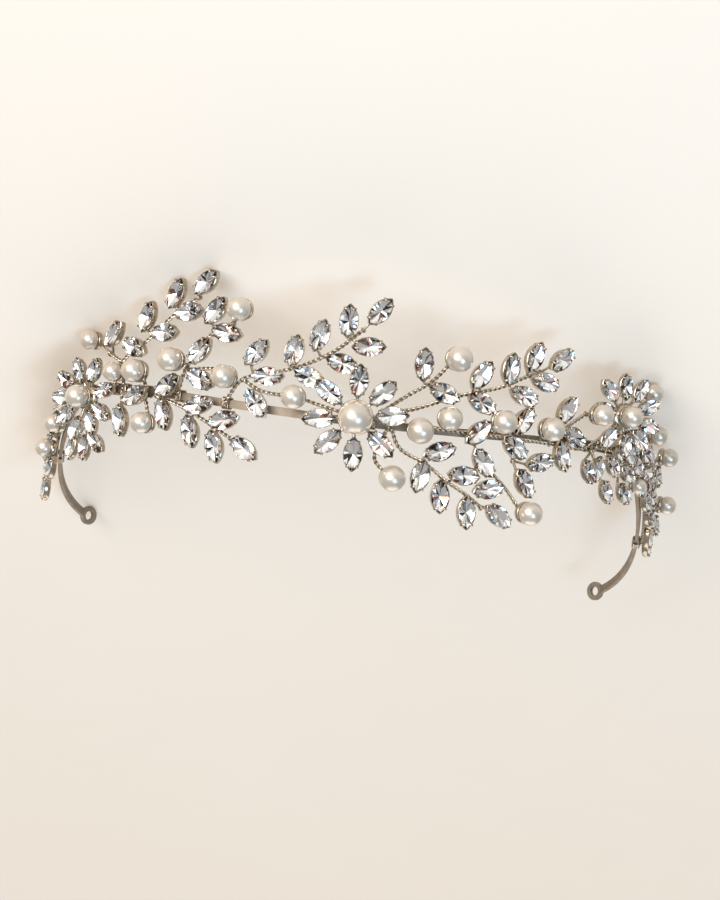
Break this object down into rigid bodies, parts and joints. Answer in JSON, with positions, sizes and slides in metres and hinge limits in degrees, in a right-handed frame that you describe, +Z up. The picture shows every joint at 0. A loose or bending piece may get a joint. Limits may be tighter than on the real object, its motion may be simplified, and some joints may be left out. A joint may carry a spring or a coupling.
{
  "type": "rhinestone headband",
  "caption": "C-shaped metal headband with sprigs of boat-shaped clear stones and pearls along its front and sides, a flower in the middle and one on each side.",
  "frame": {"origin": "on the floor plane under the centre of the bounding box", "axes": "+X to the wearer's right, as the headband is stored upside down and leaned back; +Y from the front of the hoop to its open back; +Z up from the floor it lies on"},
  "size_m": [0.1758, 0.1368, 0.0554],
  "materials": {
    "metal": "polished, champagne tint",
    "crystal": "cut and polished",
    "pearl": "pearly, satin gloss"
  },
  "bodies": {
    "root": {"band": "metal", "centre_flower_metal": "metal", "centre_flower_stones": "crystal", "top_sprig_metal": "metal", "top_sprig_stones": "crystal", "left_high_sprig_metal": "metal", "left_high_sprig_stones": "crystal", "left_mid_sprig_metal": "metal", "left_mid_sprig_stones": "crystal", "left_low_sprig_metal": "metal", "left_low_sprig_stones": "crystal", "left_trail_metal": "metal", "left_trail_stones": "crystal", "left_flower_metal": "metal", "left_flower_stones": "crystal", "left_tail_metal": "metal", "left_tail_stones": "crystal", "right_high_sprig_metal": "metal", "right_high_sprig_stones": "crystal", "right_low_sprig_metal": "metal", "right_low_sprig_stones": "crystal", "right_trail_metal": "metal", "right_trail_stones": "crystal", "right_flower_metal": "metal", "right_flower_stones": "crystal", "right_tail_metal": "metal", "right_tail_stones": "crystal", "pearl_centre": "pearl", "pearl_by_flower": "pearl", "pearl_far_left_high": "pearl", "pearl_left_high": "pearl", "pearl_left_band": "pearl", "pearl_left_knot": "pearl", "pearl_left_trail_outer": "pearl", "pearl_left_trail_inner": "pearl", "pearl_left_low": "pearl", "pearl_left_flower": "pearl", "pearl_left_tail_upper": "pearl", "pearl_left_tail_lower": "pearl", "pearl_right_high": "pearl", "pearl_below_flower": "pearl", "pearl_right_low": "pearl", "pearl_right_band_1": "pearl", "pearl_right_band_2": "pearl", "pearl_right_band_3": "pearl", "pearl_right_band_4": "pearl", "pearl_right_trail": "pearl", "pearl_right_flower": "pearl", "pearl_far_right_high": "pearl", "pearl_right_tail_upper": "pearl", "pearl_right_tail_middle": "pearl", "pearl_right_tail_lower": "pearl", "pearl_right_tail_inner": "pearl"}
  },
  "joints": []
}
